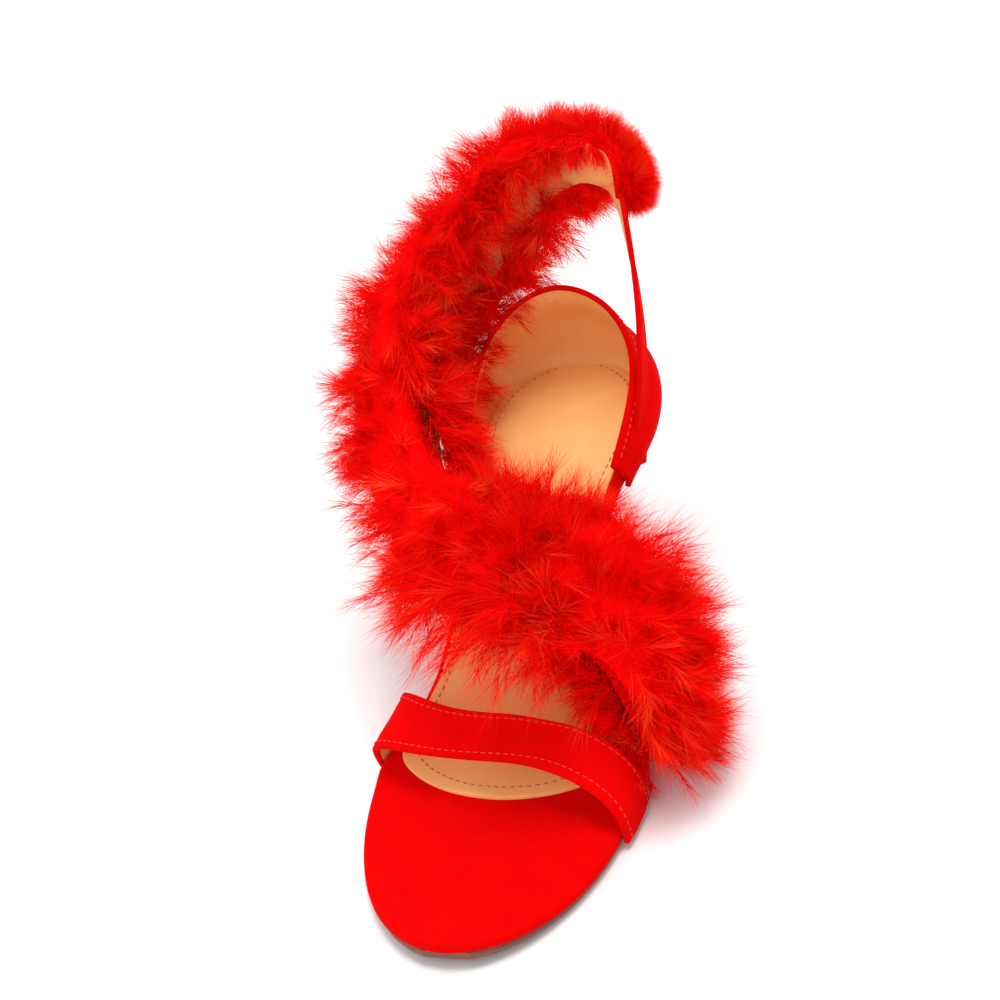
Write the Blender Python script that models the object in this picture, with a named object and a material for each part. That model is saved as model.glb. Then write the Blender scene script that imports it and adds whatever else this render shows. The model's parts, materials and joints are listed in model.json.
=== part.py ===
"""Feather-trimmed high-heeled sandal, a right shoe: metres, +Z up, toe towards -Y, medial side towards +X."""
from collections import namedtuple
from math import cos, pi, radians, sin, sqrt
from random import Random

import bmesh
import bpy
import numpy as np
from mathutils import Vector

# Driving sizes of the shoe
LENGTH = 0.207
BALL_WIDTH = 0.087
HEEL_RISE = 0.061
TOE_SPRING = 0.004
SPRING_FROM = 0.82
CLEARANCE = 0.0003

# Thicknesses of the layers of the sole, and how far each stands in from the insole's edge
OUTSOLE_THICKNESS = 0.0022
INSOLE_THICKNESS = 0.0048
SOCK_THICKNESS = 0.0010
OUTSOLE_INSET = 0.0012
SOCK_INSET = 0.0026
EDGE_ROUNDING = 0.0012
LEAST_HALF_WIDTH = 0.0010
FULL_INSET_WIDTH = 0.25
SHARP_ANGLE = 35

# Round ends of the sole, as shares of the length
HEEL_ROUND = 0.13
TOE_ROUND = 0.355
SOCK_FRONT = 0.705
SOCK_FRONT_ROUND = 0.14
HEEL_BREAST = 0.20
BREAST_GAP = 0.0009
BREAST_HOLLOW = 0.02

# Slim heel and its top piece: HEEL_TAPER is how soon it narrows below the seat, and HEEL_CROWDING how closely
# its levels lie there
HEEL_AROUND = 32
HEEL_LEVELS = 15
PIN_WIDTH = 0.0100
PIN_DEPTH = 0.0110
PIN_FROM_BACK = 0.022
TIP_THICKNESS = 0.006
TIP_OVERHANG = 0.0004
TIP_CHAMFER = 0.001
TIP_FOOT = 0.92
HEEL_TAPER = 3.4
HEEL_CROWDING = 1.3

# Leather of the upper
UPPER_THICKNESS = 0.0020
STRAP_THICKNESS = 0.0016

# Heel counter: its height and bulge at its two front ends are shares of those at the back
COUNTER_HEIGHT = 0.036
COUNTER_FRONT = 0.235
COUNTER_BULGE = 0.0038
COUNTER_LEAN = 0.0050
COUNTER_END_HEIGHT = 0.20
COUNTER_END_BULGE = 0.35
COUNTER_SWEEP = 1.15
COUNTER_TOP_SWEEP = 1.1
COUNTER_BULGE_TOP = 0.80
COUNTER_LEAN_FROM = 0.45
COUNTER_LEAN_CURVE = 1.5
COUNTER_TURNS = 41
COUNTER_LEVELS = 7

# Strap over the toes: TOE_STRAP_SQUARE is the power of its arch, below 1 for fuller shoulders
TOE_STRAP_WIDTH = 0.019
TOE_STRAP_ALONG = 0.655
TOE_STRAP_SKEW = 0.066
TOE_STRAP_FRONT_ARCH = 0.014
TOE_STRAP_BACK_ARCH = 0.021
TOE_STRAP_BESIDE = 0.00045
TOE_STRAP_SQUARE = 0.62
TOE_STRAP_SPANS = 4
TOE_STRAP_TURNS = 33

# Strap on the medial side and the winding band, which starts beside the insole and turns square to the foot
# over its first START_TURNS rows
MEDIAL_STRAP_WIDTH = 0.009
MEDIAL_STRAP_ALONG = 0.200
MEDIAL_STRAP_BOW = 0.004
MEDIAL_STRAP_STEPS = 13
BAND_WIDTH = 0.016
ANKLE_HEIGHT = 0.142
BAND_START = 0.600
BAND_BESIDE = 0.0012
START_TURNS = 2.5
START_FLUFF = 0.7

# Feather trim: its reach out from the band, its spread to each side, the lift of its open horns and the depth
# of its wrapped one; FLUFF_ROUND is the power of its arch
FLUFF_REACH = 0.024
FLUFF_SPREAD = 0.025
FLUFF_LIFT = 0.007
FLUFF_WRAP = 0.0075
FLUFF_WRAP_LIFT = 0.0015
FLUFF_BESIDE = 0.0009
FLUFF_BEHIND = 0.0012
FLUFF_CLEARANCE = 0.0007
FLUFF_ROUND = 0.8
FLUFF_AROUND = 13
BAND_STEPS = 51

# Locks drawn out of the trim: LOCK_ROOM is the outline of a face that carries a full lock
LOCK_SEED = 5
LOCK_LENGTH = 0.011
LOCK_TIP = 0.22
LOCK_LEAN = 0.22
LOCK_SHORTEST = 0.45
LOCK_ROOM = 0.012

# Sole sections from the heel's back to the toe: along is a share of LENGTH, rise of HEEL_RISE,
# centre and half are shares of BALL_WIDTH, centre counted towards the medial side,
# board is the insole's thickness there as a share of INSOLE_THICKNESS
Section = namedtuple("Section", "along rise centre half board")
SOLE = (
    Section(0.00, 1.000, 0.030, 0.325, 1.00),
    Section(0.13, 0.935, 0.025, 0.325, 1.00),
    Section(0.25, 0.775, -0.020, 0.290, 1.00),
    Section(0.38, 0.490, -0.065, 0.255, 1.00),
    Section(0.48, 0.275, -0.060, 0.285, 0.95),
    Section(0.57, 0.110, -0.035, 0.390, 0.85),
    Section(0.65, 0.020, -0.020, 0.490, 0.75),
    Section(0.70, 0.000, -0.018, 0.490, 0.70),
    Section(0.82, 0.000, -0.012, 0.490, 0.62),
    Section(1.00, 0.000, -0.005, 0.490, 0.58),
)

# The winding band from beside the medial forefoot to the medial ankle: along is a share of LENGTH,
# across of BALL_WIDTH towards the medial side, height of ANKLE_HEIGHT
# fluff is the size of the feather trim there, as a share of its full size
# wrap is how far its upper horn is wrapped round the band's upper edge
Turn = namedtuple("Turn", "along across height fluff wrap")
BAND = (
    Turn(0.590, 0.420, 0.155, 0.78, 0.0),
    Turn(0.555, 0.360, 0.240, 1.05, 0.0),
    Turn(0.505, 0.215, 0.305, 1.15, 0.0),
    Turn(0.440, -0.005, 0.360, 1.12, 0.0),
    Turn(0.335, -0.285, 0.460, 0.98, 0.1),
    Turn(0.205, -0.425, 0.570, 0.95, 0.7),
    Turn(0.100, -0.400, 0.680, 0.98, 1.0),
    Turn(0.040, -0.245, 0.800, 0.90, 1.0),
    Turn(0.010, -0.040, 0.935, 0.72, 0.8),
    Turn(0.002, 0.150, 1.000, 0.46, 0.0),
    Turn(0.035, 0.305, 1.000, 0.24, 0.0),
    Turn(0.085, 0.368, 0.978, 0.14, 0.0),
)

# Horn of the trim's section from the band's edge out: places along it while it is open and while it is
# wrapped round the edge, and how far each place then lies behind the band and in the depth of the wrap
Horn = namedtuple("Horn", "open_share shut_share behind deep")
HORN = (
    Horn(0.00, 0.00, 0.0, 0.0),
    Horn(0.09, 0.00, 0.0, 0.0),
    Horn(0.18, 0.00, 1.0, 0.0),
    Horn(0.38, 0.25, 1.0, 0.6),
    Horn(0.68, 0.68, 1.0, 0.6),
)

# Middle of the foot and leg inside the band, from the forefoot up to the leg
Middle = namedtuple("Middle", "along height")
LEG = (
    Middle(0.66, 0.08),
    Middle(0.50, 0.15),
    Middle(0.35, 0.32),
    Middle(0.22, 0.58),
    Middle(0.17, 0.85),
    Middle(0.17, 1.20),
)


def smooth(rows, column, at):
    """A column of a table at a place along its first column, on a curve that never overshoots its rows."""
    xs = [row[0] for row in rows]
    ys = [getattr(row, column) for row in rows]
    slopes = [(ys[i + 1] - ys[i]) / (xs[i + 1] - xs[i]) for i in range(len(xs) - 1)]
    tangents = [slopes[0]]
    for before, after in zip(slopes, slopes[1:]):
        level = before * after <= 0
        tangents.append(0.0 if level else 2 * before * after / (before + after))
    tangents.append(slopes[-1])
    at = min(max(at, xs[0]), xs[-1])
    i = max(k for k in range(len(xs) - 1) if xs[k] <= at)
    step = xs[i + 1] - xs[i]
    t = (at - xs[i]) / step
    return (ys[i] * (1 + 2 * t) * (1 - t) ** 2 + tangents[i] * step * t * (1 - t) ** 2
            + ys[i + 1] * t * t * (3 - 2 * t) + tangents[i + 1] * step * t * t * (t - 1))


def rise(along):
    """Height of the insole's underside over the floor."""
    spring = max(0.0, (along - SPRING_FROM) / (1 - SPRING_FROM))
    return OUTSOLE_THICKNESS + HEEL_RISE * smooth(SOLE, "rise", along) + TOE_SPRING * spring ** 2


def board_top(along):
    """Height of the insole's top over its underside."""
    return CLEARANCE + INSOLE_THICKNESS * smooth(SOLE, "board", along)


def half_width(along):
    """Half the width of the insole: an ellipse at the heel and at the toe, the table between them."""
    half = BALL_WIDTH * smooth(SOLE, "half", along)
    if along < HEEL_ROUND:
        half *= sqrt(max(0.0, 1 - (1 - along / HEEL_ROUND) ** 2))
    if along > 1 - TOE_ROUND:
        half *= sqrt(max(0.0, 1 - ((along - 1 + TOE_ROUND) / TOE_ROUND) ** 2))
    return half


def edge(along, side):
    """Across position of the insole's edge, side 1 medial and side -1 lateral."""
    return BALL_WIDTH * smooth(SOLE, "centre", along) + side * half_width(along)


def over_sole(along, across, height):
    """Point at a height square to the insole's underside, over a place in its plan."""
    step = 0.01
    low = min(max(along, step), 1 - step)
    slope = Vector((0, -2 * step * LENGTH, rise(low + step) - rise(low - step))).normalized()
    square = Vector((0, -slope.z, slope.y)) * (1 if slope.y > 0 else -1)
    inside = min(max(along, 0), 1)
    foot = Vector((across, -inside * LENGTH, rise(along)))
    return foot + slope * (along - inside) * LENGTH + square * height


def out_of_edge(along, side, distance):
    """Plan place (along, across) at a distance square out of the insole's edge."""
    step = 0.004
    low = min(max(along - step, 0.0), 1.0)
    high = min(max(along + step, 0.0), 1.0)
    run = np.array([(high - low) * LENGTH, edge(high, side) - edge(low, side)])
    run = run / np.linalg.norm(run)
    normal = np.array([-run[1], run[0]]) * side
    return along + normal[0] * distance / LENGTH, edge(along, side) + normal[1] * distance


def material(name, color, roughness, metallic=0.0):
    """Principled material of one colour."""
    made = bpy.data.materials.new(name)
    made.use_nodes = True
    shader = made.node_tree.nodes["Principled BSDF"]
    shader.inputs["Base Color"].default_value = (*color, 1)
    shader.inputs["Roughness"].default_value = roughness
    shader.inputs["Metallic"].default_value = metallic
    return made


def add_object(name, mesh, finish, guide=False):
    """Object in the scene, under the shoe's empty; a guide is left out of the part."""
    made = bpy.data.objects.new(name, mesh)
    bpy.context.scene.collection.objects.link(made)
    mesh.materials.append(finish)
    made.parent = SHOE
    mesh.shade_smooth()
    mesh.set_sharp_from_angle(angle=radians(SHARP_ANGLE))
    if guide:
        made.hide_render = True
        made.display_type = "WIRE"
    return made


def tube(rings):
    """Closed mesh through rings of points, each ring joined to the next and the two ends filled."""
    made = bmesh.new()
    rows = [[made.verts.new(point) for point in ring] for ring in rings]
    count = len(rows[0])
    for before, after in zip(rows, rows[1:]):
        for i in range(count):
            j = (i + 1) % count
            made.faces.new((before[i], before[j], after[j], after[i]))
    made.faces.new(rows[0][::-1])
    made.faces.new(rows[-1])
    bmesh.ops.recalc_face_normals(made, faces=made.faces)
    return made


def to_mesh(made, name):
    """Blender mesh of a bmesh."""
    mesh = bpy.data.meshes.new(name)
    made.to_mesh(mesh)
    made.free()
    return mesh


def stations(start, end, count):
    """Places from start to end, closer together towards both ends."""
    return [start + (end - start) * (1 - cos(pi * i / (count - 1))) / 2 for i in range(count)]


def layer(name, start, end, bottom, top, inset, finish, front_round=0.0, count=44):
    """Sheet of the sole from one station to another, between two heights, with its edges rounded.
    front_round is how far back from its front end its sides close in on a half ellipse."""
    rings = []
    reach = inset / LENGTH
    for place in stations(max(start, reach), min(end, 1 - reach), count):
        half = half_width(place)
        width = half - inset * min(1.0, half / BALL_WIDTH / FULL_INSET_WIDTH)
        if front_round and place > end - front_round:
            width *= sqrt(max(0.0, 1 - ((place - end) / front_round + 1) ** 2))
        width = max(width, LEAST_HALF_WIDTH)
        middle = BALL_WIDTH * smooth(SOLE, "centre", place)
        low, high = bottom(place), top(place)
        soft = min(EDGE_ROUNDING, (high - low) / 3, width / 3)
        ring = []
        for across, height in ((-width, low + soft), (-width + soft, low), (width - soft, low),
                               (width, low + soft), (width, high - soft), (width - soft, high),
                               (-width + soft, high), (-width, high - soft)):
            ring.append(over_sole(place, middle + across, height))
        rings.append(ring)
    add_object(name, to_mesh(tube(rings), name), finish)


def heel_outline(count):
    """Plan places of the heel seat: round the back from the medial breast to the lateral breast."""
    back = count * 3 // 4
    places = []
    for i in range(back):
        turn = i / (back - 1)
        side = 1 if turn < 0.5 else -1
        along = HEEL_BREAST * (1 - sin(pi * turn)) if turn != 0.5 else 0.0
        places.append(out_of_edge(max(along, 0.0), side, -OUTSOLE_INSET))
    front = count - back
    (start_along, start), (end_along, end) = places[-1], places[0]
    for i in range(front):
        share = (i + 1) / (front + 1)
        hollow = BREAST_HOLLOW * sin(pi * share)
        places.append((start_along - hollow, start + (end - start) * share))
    return places


def make_heel(finish, tip_finish):
    """Slim heel from the seat to its pin, and the top piece under it."""
    seat = [over_sole(along, across, -CLEARANCE) for along, across in heel_outline(HEEL_AROUND)]
    centre = Vector((BALL_WIDTH * SOLE[0].centre, -PIN_FROM_BACK, 0))
    pin = []
    for point in seat:
        away = Vector((point.x - centre.x, point.y - centre.y, 0)).normalized()
        foot = Vector((away.x * PIN_WIDTH / 2, away.y * PIN_DEPTH / 2, TIP_THICKNESS + CLEARANCE))
        pin.append(centre + foot)
    rings = []
    for k in range(HEEL_LEVELS):
        down = (k / (HEEL_LEVELS - 1)) ** HEEL_CROWDING
        narrow = 1 - (1 - down) ** HEEL_TAPER
        ring = []
        for top, bottom in zip(seat, pin):
            plan = top.lerp(bottom, narrow)
            ring.append(Vector((plan.x, plan.y, top.z + (bottom.z - top.z) * down)))
        rings.append(ring)
    add_object("heel", to_mesh(tube(rings), "heel"), finish)
    grow = 1 + 2 * TIP_OVERHANG / PIN_WIDTH
    tip = []
    for height, size in ((TIP_THICKNESS, 1.0), (TIP_CHAMFER, 1.0), (0.0, TIP_FOOT)):
        tip.append([centre + Vector(((p.x - centre.x) * grow * size, (p.y - centre.y) * grow * size, height))
                    for p in pin])
    add_object("heel_tip", to_mesh(tube(tip), "heel_tip"), tip_finish)


def counter_wall():
    """Rings of the heel counter from its medial front end round the back to its lateral front end."""
    rings = []
    for i in range(COUNTER_TURNS):
        turn = i / (COUNTER_TURNS - 1)
        side = 1 if turn < 0.5 else -1
        back = sin(pi * turn)
        along = COUNTER_FRONT * (1 - back) ** COUNTER_SWEEP
        tall = COUNTER_END_HEIGHT + (1 - COUNTER_END_HEIGHT) * back ** COUNTER_TOP_SWEEP
        full = COUNTER_END_BULGE + (1 - COUNTER_END_BULGE) * back
        top = COUNTER_HEIGHT * tall + INSOLE_THICKNESS
        inner = []
        outer = []
        for k in range(COUNTER_LEVELS):
            up = k / (COUNTER_LEVELS - 1)
            bulge = COUNTER_BULGE * sin(pi * min(up / COUNTER_BULGE_TOP, 1.0)) * full
            lean = COUNTER_LEAN * max(0.0, up - COUNTER_LEAN_FROM) ** COUNTER_LEAN_CURVE * (1 + back)
            out = CLEARANCE + bulge - lean
            height = CLEARANCE + (top - CLEARANCE) * up
            inner.append(over_sole(*out_of_edge(along, side, out), height))
            outer.append(over_sole(*out_of_edge(along, side, out + UPPER_THICKNESS), height))
        rings.append(inner + outer[::-1])
    return tube(rings)


def ribbon(middles, outwards, width, thickness):
    """Band through middle points, its inner face on them, square to the outward directions."""
    rings = []
    for i, (middle, outward) in enumerate(zip(middles, outwards)):
        ahead = (middles[min(i + 1, len(middles) - 1)] - middles[max(i - 1, 0)]).normalized()
        outward = (outward - ahead * outward.dot(ahead)).normalized()
        across = ahead.cross(outward) * (width / 2)
        thick = outward * thickness
        rings.append([middle - across, middle + across, middle + across + thick, middle - across + thick])
    return tube(rings)


def leg_middle(point):
    """Nearest point of the foot's and leg's middle line."""
    line = [Vector((0, -row.along * LENGTH, row.height * ANKLE_HEIGHT)) for row in LEG]
    best = None
    for start, end in zip(line, line[1:]):
        run = end - start
        share = min(max((point - start).dot(run) / run.length_squared, 0.0), 1.0)
        near = start + run * share
        if best is None or (point - near).length < (point - best).length:
            best = near
    return best


def band_path(count):
    """Points of the winding band, their outward directions, and the size and wrap of the trim there."""
    start = over_sole(*out_of_edge(BAND_START, 1, BAND_BESIDE), CLEARANCE)
    start_out = over_sole(*out_of_edge(BAND_START, 1, UPPER_THICKNESS), CLEARANCE) - start
    knots = [start] + [Vector((row.across * BALL_WIDTH, -row.along * LENGTH, row.height * ANKLE_HEIGHT))
                       for row in BAND]
    trims = [(BAND[0].fluff * START_FLUFF, BAND[0].wrap)] + [(row.fluff, row.wrap) for row in BAND]
    points, outwards, sizes = [], [], []
    for i in range(count):
        place = i / (count - 1) * (len(knots) - 1)
        k = min(int(place), len(knots) - 2)
        t = place - k
        p0, p1, p2, p3 = (knots[max(k - 1, 0)], knots[k], knots[k + 1], knots[min(k + 2, len(knots) - 1)])
        point = 0.5 * (2 * p1 + (p2 - p0) * t + (2 * p0 - 5 * p1 + 4 * p2 - p3) * t * t
                       + (3 * p1 - p0 - 3 * p2 + p3) * t ** 3)
        outward = (point - leg_middle(point)).normalized()
        points.append(point)
        outwards.append(start_out.normalized().lerp(outward, min(place / START_TURNS, 1.0)).normalized())
        sizes.append([before + (after - before) * t for before, after in zip(trims[k], trims[k + 1])])
    return points, outwards, sizes


def make_upper(finish):
    """Counter, medial strap and winding band, joined where they cross."""
    upper = add_object("upper", to_mesh(counter_wall(), "upper"), finish)
    points, outwards, _ = band_path(BAND_STEPS)
    winding = ribbon(points, outwards, BAND_WIDTH, UPPER_THICKNESS)
    band = add_object("band_guide", to_mesh(winding, "band"), finish, guide=True)
    foot = over_sole(*out_of_edge(MEDIAL_STRAP_ALONG, 1, 2 * CLEARANCE), CLEARANCE)
    head = points[-1] + outwards[-1] * (UPPER_THICKNESS - STRAP_THICKNESS) / 2
    foot_side = over_sole(*out_of_edge(MEDIAL_STRAP_ALONG, 1, UPPER_THICKNESS), CLEARANCE) - foot
    middles, sides = [], []
    for i in range(MEDIAL_STRAP_STEPS):
        share = i / (MEDIAL_STRAP_STEPS - 1)
        middle = foot.lerp(head, share)
        middle.x += MEDIAL_STRAP_BOW * sin(pi * share)
        middles.append(middle)
        sides.append(foot_side.normalized().lerp(outwards[-1], share))
    narrow = ribbon(middles, sides, MEDIAL_STRAP_WIDTH, STRAP_THICKNESS)
    strap = add_object("strap_guide", to_mesh(narrow, "strap"), finish, guide=True)
    for guide in (strap, band):
        join = upper.modifiers.new(guide.name, "BOOLEAN")
        join.operation = "UNION"
        join.solver = "EXACT"
        join.object = guide


def make_toe_strap(finish):
    """Arched band over the toes, its ends beside the insole's edge."""
    rings = []
    shares = [k / TOE_STRAP_SPANS for k in range(TOE_STRAP_SPANS + 1)]
    section = [(0, share) for share in shares[::-1]] + [(UPPER_THICKNESS, share) for share in shares]
    for i in range(TOE_STRAP_TURNS):
        turn = pi * i / (TOE_STRAP_TURNS - 1)
        side = 1 if turn < pi / 2 else -1
        wide = abs(cos(turn)) ** TOE_STRAP_SQUARE
        ring = []
        for lift, share in section:
            along = TOE_STRAP_ALONG + TOE_STRAP_SKEW * cos(turn) + (share - 0.5) * TOE_STRAP_WIDTH / LENGTH
            arch = TOE_STRAP_BACK_ARCH + (TOE_STRAP_FRONT_ARCH - TOE_STRAP_BACK_ARCH) * share
            reach_along, reach = out_of_edge(along, side, TOE_STRAP_BESIDE + lift)
            middle = BALL_WIDTH * smooth(SOLE, "centre", along)
            height = CLEARANCE + (board_top(along) + arch + lift) * sin(turn) ** TOE_STRAP_SQUARE
            across = middle + (reach - middle) * wide
            ring.append(over_sole(along + (reach_along - along) * wide, across, height))
        rings.append(ring)
    add_object("toe_strap", to_mesh(tube(rings), "toe_strap"), finish)


def fluff_profile(size, wrap):
    """Section of the trim, across and outward from the band: a crescent, its upper horn wrapped round the
    band's upper edge as far as wrap says from 0 to 1."""
    base = BAND_WIDTH / 2
    spread = FLUFF_SPREAD * size
    open_lift = FLUFF_LIFT * size
    beside = base + FLUFF_BESIDE
    behind = -(UPPER_THICKNESS + FLUFF_BEHIND)
    upper_horn, lower_horn = [], []
    for row in HORN:
        open_x, open_y = base + (spread - base) * row.open_share, open_lift * row.open_share
        shut_x = base if row.open_share == 0 else beside + (spread - beside) * row.shut_share
        shut_y = behind * row.behind - FLUFF_WRAP * row.deep
        upper_horn.append((open_x + (shut_x - open_x) * wrap, open_y + (shut_y - open_y) * wrap))
        lower_horn.append((-open_x, open_y))
    arc = []
    for k in range(FLUFF_AROUND):
        turn = pi * k / (FLUFF_AROUND - 1)
        shut = wrap * (1 + cos(turn)) / 2
        lift = open_lift - (FLUFF_WRAP_LIFT + open_lift) * shut
        arc.append((cos(turn) * spread, lift + sin(turn) ** FLUFF_ROUND * (FLUFF_REACH * size - lift)))
    return upper_horn + arc + lower_horn[::-1]


def draw_locks(made):
    """Tapered locks drawn out of every other face of the outer side of the trim."""
    chance = Random(LOCK_SEED)
    around = FLUFF_AROUND + 2 * len(HORN)
    made.faces.ensure_lookup_table()
    chosen = []
    for i in range(1, BAND_STEPS - 2):
        for k in range(len(HORN) - 2, len(HORN) + FLUFF_AROUND - 2):
            if (i + k) % 2 == 0:
                chosen.append(made.faces[i * around + k])
    for face in chosen:
        length = LOCK_LENGTH * (LOCK_SHORTEST + (1 - LOCK_SHORTEST) * chance.random())
        lean = Vector([chance.uniform(-LOCK_LEAN, LOCK_LEAN) for _ in range(3)])
        reach = (face.normal + lean) * length * min(1.0, face.calc_perimeter() / LOCK_ROOM)
        grown = bmesh.ops.extrude_discrete_faces(made, faces=[face])["faces"][0]
        middle = grown.calc_center_median()
        for vert in grown.verts:
            vert.co = middle + (vert.co - middle) * LOCK_TIP + reach


def make_marabou(finish):
    """Feather trim round the outside of the winding band: a soft swelling with locks drawn out of it."""
    points, outwards, sizes = band_path(BAND_STEPS)
    rings = []
    for i, (point, outward, (size, wrap)) in enumerate(zip(points, outwards, sizes)):
        ahead = (points[min(i + 1, len(points) - 1)] - points[max(i - 1, 0)]).normalized()
        outward = (outward - ahead * outward.dot(ahead)).normalized()
        across = ahead.cross(outward)
        base = point + outward * (UPPER_THICKNESS + FLUFF_CLEARANCE)
        rings.append([base + across * x + outward * y for x, y in fluff_profile(size, wrap)])
    made = tube(rings)
    draw_locks(made)
    add_object("marabou", to_mesh(made, "marabou"), finish)


def centre_shoe(pieces):
    """Move the shoe so that the middle of its box's base is the origin."""
    bpy.context.view_layer.update()
    graph = bpy.context.evaluated_depsgraph_get()
    corners = []
    for piece in pieces:
        shape = piece.evaluated_get(graph)
        corners += [piece.matrix_world @ vert.co for vert in shape.to_mesh().vertices]
        shape.to_mesh_clear()
    low = Vector([min(c[i] for c in corners) for i in range(3)])
    high = Vector([max(c[i] for c in corners) for i in range(3)])
    SHOE.location = (-(low.x + high.x) / 2, -(low.y + high.y) / 2, -low.z)


for old in list(bpy.data.objects):
    bpy.data.objects.remove(old, do_unlink=True)

SHOE = bpy.data.objects.new("shoe", None)
bpy.context.scene.collection.objects.link(SHOE)

RED = material("red_suede", (0.62, 0.01, 0.008), 0.85)
FEATHER = material("red_feather", (0.75, 0.02, 0.008), 0.9)
TAN = material("tan_leather", (0.80, 0.50, 0.28), 0.55)
BROWN = material("brown_leather", (0.25, 0.10, 0.05), 0.5)
DARK = material("dark_rubber", (0.05, 0.03, 0.03), 0.6)

layer("outsole", HEEL_BREAST + BREAST_GAP / LENGTH, 1.0, lambda along: -OUTSOLE_THICKNESS, lambda along: 0.0,
      OUTSOLE_INSET, BROWN)
layer("insole", 0.0, 1.0, lambda along: CLEARANCE, board_top, 0.0, RED)
layer("sock", 0.0, SOCK_FRONT, lambda along: board_top(along) + CLEARANCE,
      lambda along: board_top(along) + CLEARANCE + SOCK_THICKNESS, SOCK_INSET, TAN, SOCK_FRONT_ROUND)
make_heel(RED, DARK)
make_upper(RED)
make_toe_strap(RED)
make_marabou(FEATHER)
centre_shoe([piece for piece in bpy.data.objects if piece.type == "MESH" and not piece.hide_render])
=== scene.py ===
"""The looks of a feather-trimmed red suede sandal, a right shoe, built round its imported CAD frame."""
import json
from collections import namedtuple
from math import cos, pi, radians, sin, sqrt

import bmesh
import bpy
import numpy as np
from mathutils import Matrix, Vector


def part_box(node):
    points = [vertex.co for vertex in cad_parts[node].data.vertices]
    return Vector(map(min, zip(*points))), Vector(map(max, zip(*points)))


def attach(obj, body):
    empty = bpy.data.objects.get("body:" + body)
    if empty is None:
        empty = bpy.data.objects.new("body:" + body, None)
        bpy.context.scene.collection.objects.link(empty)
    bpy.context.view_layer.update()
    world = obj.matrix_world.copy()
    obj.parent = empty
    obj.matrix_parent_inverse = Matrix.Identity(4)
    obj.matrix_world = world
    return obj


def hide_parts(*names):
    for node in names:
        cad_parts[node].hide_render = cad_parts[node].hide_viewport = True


# Camera: the photograph's angle to the shoe, its distance and its scale
CAMERA_AZIMUTH = 24.0
CAMERA_ELEVATION = 32.7
CAMERA_ROLL = -15.3
CAMERA_DISTANCE = 0.600
CAMERA_AIM = (0.0, 0.0, 0.076)
CAMERA_LENS = 71.7
SENSOR = 36.0

# Light: its strength from all round, and lamps as wide as their spread in radians
SKY_LIGHT = 0.75
Lamp = namedtuple("Lamp", "name place spread power")
LAMPS = (
    Lamp("key", (0.15, 0.12, 1.30), 0.45, 1.60),
    Lamp("fill", (-0.50, -0.95, 0.60), 1.2, 0.60),
    Lamp("rim", (0.4, 0.9, 0.8), 0.9, 0.35),
)
FLOOR_HALF = 4.0
FLOOR_SHADE = 0.93

# Colours, linear
RED_SUEDE = (0.80, 0.0006, 0.0006)
FEATHER_DARK = (0.32, 0.012, 0.004)
FEATHER_ROOT = (0.94, 0.0008, 0.0008)
FEATHER_MIDDLE = (0.985, 0.001, 0.0008)
FEATHER_TIP = (0.99, 0.009, 0.004)
# Warm orange for the plumes' thin tips and the trim's edges: painted light, as if shining through thin barbs
FEATHER_PAINTED_LIGHT = (0.99, 0.105, 0.028)
TAN = (0.98, 0.55, 0.19)
TAN_DEEP = (0.94, 0.46, 0.135)
THREAD_RED = (0.92, 0.02, 0.015)
THREAD_TAN = (0.60, 0.30, 0.12)
BROWN = (0.14, 0.045, 0.025)
DARK = (0.03, 0.022, 0.02)

# The shoe's own sizes, as in the part's source, in metres
LENGTH = 0.207
BALL_WIDTH = 0.087
HEEL_RISE = 0.061
TOE_SPRING = 0.004
SPRING_FROM = 0.82
CLEARANCE = 0.0003
OUTSOLE_THICKNESS = 0.0022
INSOLE_THICKNESS = 0.0048
SOCK_THICKNESS = 0.0010
SOCK_INSET = 0.0026
SOCK_FRONT = 0.705
SOCK_FRONT_ROUND = 0.14
LEAST_HALF_WIDTH = 0.0010
FULL_INSET_WIDTH = 0.25
HEEL_ROUND = 0.13
TOE_ROUND = 0.355
UPPER_THICKNESS = 0.0020
STRAP_THICKNESS = 0.0016
COUNTER_HEIGHT = 0.036
COUNTER_FRONT = 0.235
COUNTER_BULGE = 0.0038
COUNTER_LEAN = 0.0050
COUNTER_END_HEIGHT = 0.20
COUNTER_END_BULGE = 0.35
COUNTER_SWEEP = 1.15
COUNTER_TOP_SWEEP = 1.1
COUNTER_BULGE_TOP = 0.80
COUNTER_LEAN_FROM = 0.45
COUNTER_LEAN_CURVE = 1.5
TOE_STRAP_WIDTH = 0.019
TOE_STRAP_ALONG = 0.655
TOE_STRAP_SKEW = 0.066
TOE_STRAP_FRONT_ARCH = 0.014
TOE_STRAP_BACK_ARCH = 0.021
TOE_STRAP_BESIDE = 0.00045
TOE_STRAP_SQUARE = 0.62
MEDIAL_STRAP_WIDTH = 0.009
MEDIAL_STRAP_ALONG = 0.200
MEDIAL_STRAP_BOW = 0.004
BAND_WIDTH = 0.016
ANKLE_HEIGHT = 0.142
BAND_START = 0.600
START_TURNS = 2.5

# Sole sections from the heel's back to the toe, as in the part's source
Section = namedtuple("Section", "along rise centre half board")
SOLE = (
    Section(0.00, 1.000, 0.030, 0.325, 1.00),
    Section(0.13, 0.935, 0.025, 0.325, 1.00),
    Section(0.25, 0.775, -0.020, 0.290, 1.00),
    Section(0.38, 0.490, -0.065, 0.255, 1.00),
    Section(0.48, 0.275, -0.060, 0.285, 0.95),
    Section(0.57, 0.110, -0.035, 0.390, 0.85),
    Section(0.65, 0.020, -0.020, 0.490, 0.75),
    Section(0.70, 0.000, -0.018, 0.490, 0.70),
    Section(0.82, 0.000, -0.012, 0.490, 0.62),
    Section(1.00, 0.000, -0.005, 0.490, 0.58),
)

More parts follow.
